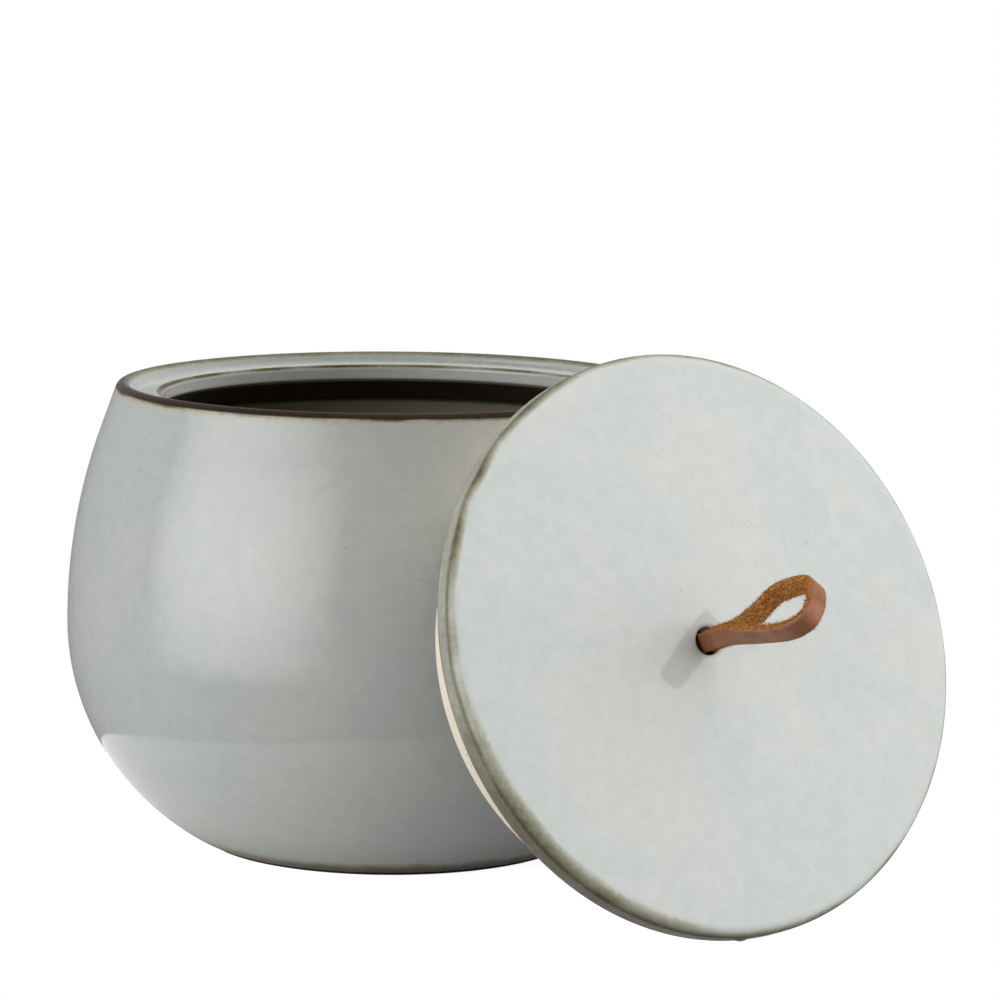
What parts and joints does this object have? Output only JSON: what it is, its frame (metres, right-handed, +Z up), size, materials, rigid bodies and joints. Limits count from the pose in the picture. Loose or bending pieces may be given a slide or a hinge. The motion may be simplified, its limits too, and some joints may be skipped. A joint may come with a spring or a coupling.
{
  "type": "salt pig",
  "caption": "Round-bellied glazed stoneware salt jar with a flat lid leaning on it, lifted by a knotted leather lace loop.",
  "frame": {"origin": "middle of the jar's flat unglazed base, on the surface it stands on", "axes": "+Z up along the jar's axis, -Y towards the side where the lid stands, with the lid to the right of the middle on +X"},
  "size_m": [0.1448, 0.1458, 0.0884],
  "materials": {
    "glazed_stoneware": "gloss glaze, pale grey, breaking dark brown on the lip, foot and lid flange unglazed",
    "leather_lace": "smooth brown grain side, fibrous flesh side"
  },
  "bodies": {
    "jar": {"pot": "glazed_stoneware"},
    "lid": {"lid": "glazed_stoneware"},
    "strap": {"strap_neck": "leather_lace", "strap_knot": "leather_lace"},
    "loop": {"strap_loop": "leather_lace"}
  },
  "joints": [
    {"name": "lid_lift", "type": "slide", "parent": "jar", "child": "lid", "axis": [0, 0, 1], "range_m": [0, 0.1]},
    {"name": "strap_turn", "type": "hinge", "parent": "lid", "child": "strap", "pos_m": [0.04735, -0.05953, 0.04344], "axis": [0.4897, -0.7992, 0.3486], "continuous": true},
    {"name": "loop_flop", "type": "hinge", "parent": "strap", "child": "loop", "pos_m": [0.05066, -0.06492, 0.0458], "axis": [0.7399, 0.1694, -0.6511], "range_deg": [-65, 75], "stiffness_Nm_per_rad": 0.002}
  ]
}
